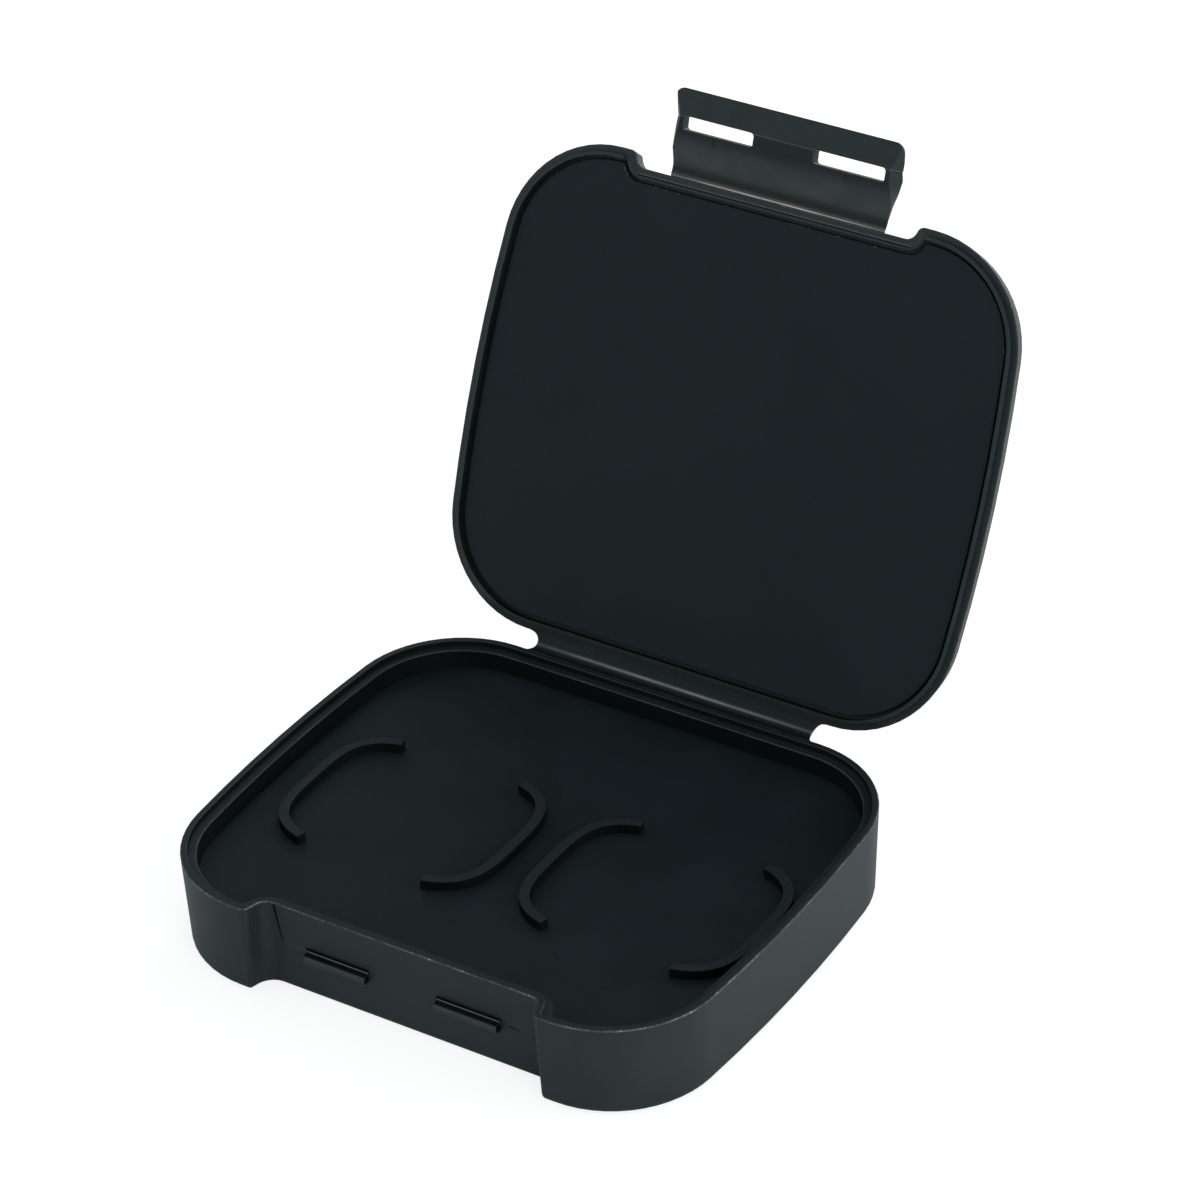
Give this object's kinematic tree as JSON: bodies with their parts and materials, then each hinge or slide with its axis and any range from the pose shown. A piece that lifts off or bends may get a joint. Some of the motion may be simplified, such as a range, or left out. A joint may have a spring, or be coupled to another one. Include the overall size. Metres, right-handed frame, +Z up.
{
  "type": "camera filter case",
  "caption": "Slim hinged pocket case for small camera filters, with a ribbed tray, a padded lid and a slotted front latch on a living hinge.",
  "frame": {"origin": "middle of the underside of the base, on the surface it rests on", "axes": "+Z up, +Y to the back where the main hinge is, -Y to the front where the catch tabs are, +X to the right seen from the front"},
  "size_m": [0.08, 0.1023, 0.0854],
  "materials": {
    "shell": "satin moulded polypropylene, near black with a cool tint",
    "tray": "matte, fine texture",
    "pad": "matte closed-cell foam sheet"
  },
  "bodies": {
    "base": {"base_shell": "shell", "filter_tray": "tray", "nest_ribs": "tray", "strap_base_half": "shell"},
    "lid": {"lid_shell": "shell", "lid_pad": "pad", "strap_lid_half": "shell", "latch_web": "shell"},
    "latch": {"latch_flap": "shell"}
  },
  "joints": [
    {"name": "lid_hinge", "type": "hinge", "parent": "base", "child": "lid", "pos_m": [0, 0.03542, 0.01345], "axis": [1, 0, 0], "range_deg": [-65, 115]},
    {"name": "latch_hinge", "type": "hinge", "parent": "lid", "child": "latch", "pos_m": [0, 0.06438, 0.07415], "axis": [1, 0, 0], "range_deg": [-15, 90]}
  ]
}
